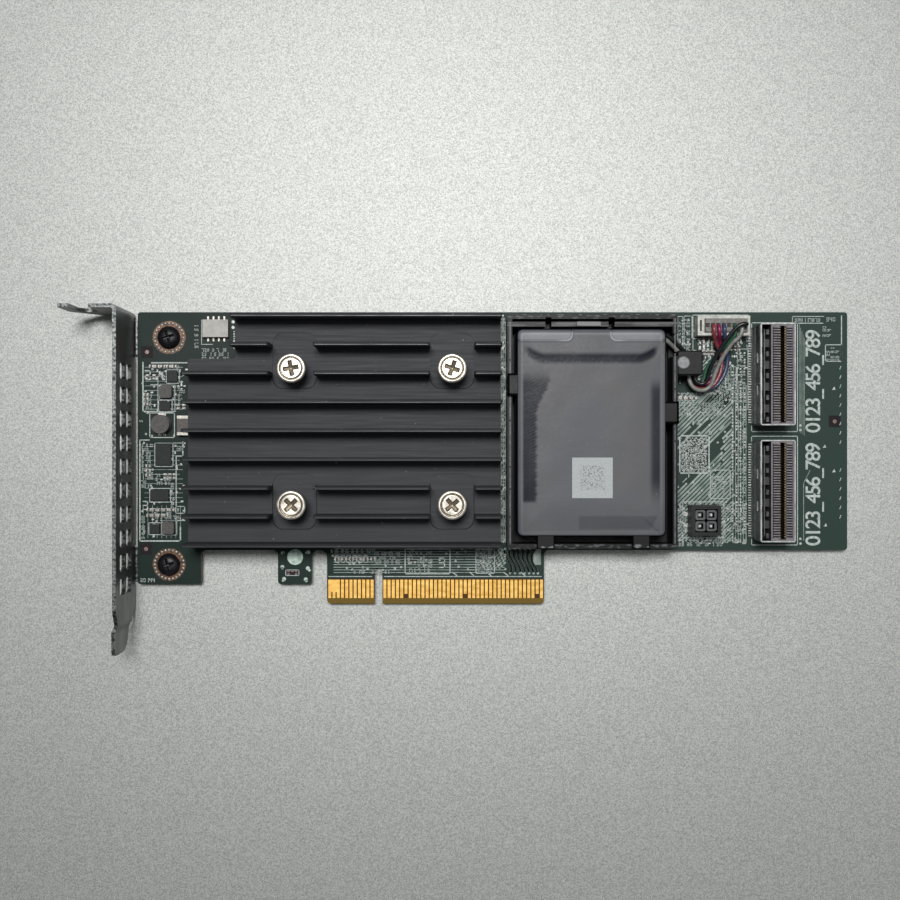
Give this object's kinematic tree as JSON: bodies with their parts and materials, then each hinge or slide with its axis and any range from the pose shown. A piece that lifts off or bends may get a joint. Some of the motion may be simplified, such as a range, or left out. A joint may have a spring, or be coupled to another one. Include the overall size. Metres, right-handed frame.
{
  "type": "raid controller card",
  "caption": "Low-profile server storage controller card: edge connector, vented slot bracket, finned heat sink, battery pack in a tray and tall cable ports.",
  "frame": {"origin": "middle of the key slot at the insertion edge of the edge connector, on the component face of the board", "axes": "+X along the board away from the slot bracket, +Y from the edge connector to the far long edge, +Z out of the component face"},
  "size_m": [0.1819, 0.0796, 0.0184],
  "materials": {
    "laminate": "green solder mask over glass laminate",
    "gold": "gold flash over nickel",
    "copper_ring": "bare copper with solder beads",
    "bracket_steel": "zinc-plated sheet",
    "black_oxide": "black oxide",
    "anodised_black": "black anodised",
    "nickel": "bright nickel plate",
    "spring_steel": "drawn wire",
    "standoff_brass": "turned",
    "chip_epoxy": "moulded epoxy",
    "chip_pale": "pale moulded epoxy",
    "carrier_green": "chip carrier",
    "lid_nickel": "nickel-plated copper lid",
    "gap_pad": "thermal gap filler",
    "tray_plastic": "moulded black",
    "pack_film": "dark grey film wrap",
    "label_paper": "bare silvery label",
    "pin_plastic": "pale moulded pin",
    "wire_black": "PVC insulation",
    "wire_white": "PVC insulation",
    "wire_green": "PVC insulation",
    "wire_red": "PVC insulation",
    "wire_magenta": "PVC insulation",
    "wire_blue": "PVC insulation",
    "nylon_natural": "natural nylon",
    "tin": "tinned",
    "shell_steel": "stainless sheet",
    "port_plastic": "grey liquid-crystal polymer",
    "header_plastic": "moulded black",
    "coil_grey": "pressed iron powder",
    "ceramic_brown": "fired ceramic"
  },
  "bodies": {
    "root": {"circuit_board": "laminate", "edge_contacts": "gold", "mounting_rings": "copper_ring", "bracket": "bracket_steel", "bracket_screws": "black_oxide", "heat_sink": "anodised_black", "heat_sink_screws": "nickel", "heat_sink_springs": "spring_steel", "heat_sink_standoffs": "standoff_brass", "processor_carrier": "carrier_green", "processor_lid": "lid_nickel", "processor_thermal_pad": "gap_pad", "memory_chips": "chip_epoxy", "memory_gap_pads": "gap_pad", "battery_tray": "tray_plastic", "battery_pack": "pack_film", "battery_label": "label_paper", "cable_clamp": "tray_plastic", "clamp_pin": "pin_plastic", "battery_wire_black": "wire_black", "battery_wire_white": "wire_white", "battery_wire_green": "wire_green", "battery_wire_red": "wire_red", "battery_wire_magenta": "wire_magenta", "battery_wire_blue": "wire_blue", "battery_header": "nylon_natural", "battery_plug": "nylon_natural", "battery_header_pins": "tin", "port_lower_shell": "shell_steel", "port_lower_housing": "port_plastic", "port_lower_contacts": "gold", "port_upper_shell": "shell_steel", "port_upper_housing": "port_plastic", "port_upper_contacts": "gold", "small_header": "header_plastic", "small_header_pins": "tin", "flash_chip": "chip_pale", "flash_chip_leads": "tin", "moulded_coils": "coil_grey", "drum_coil": "coil_grey", "drum_coil_ends": "tin", "regulator_chips": "chip_epoxy", "bulk_capacitor": "ceramic_brown", "bulk_capacitor_ends": "tin", "chip_bodies": "ceramic_brown", "chip_ends": "tin", "underside_chip_bodies": "ceramic_brown", "underside_chip_ends": "tin"}
  },
  "joints": []
}
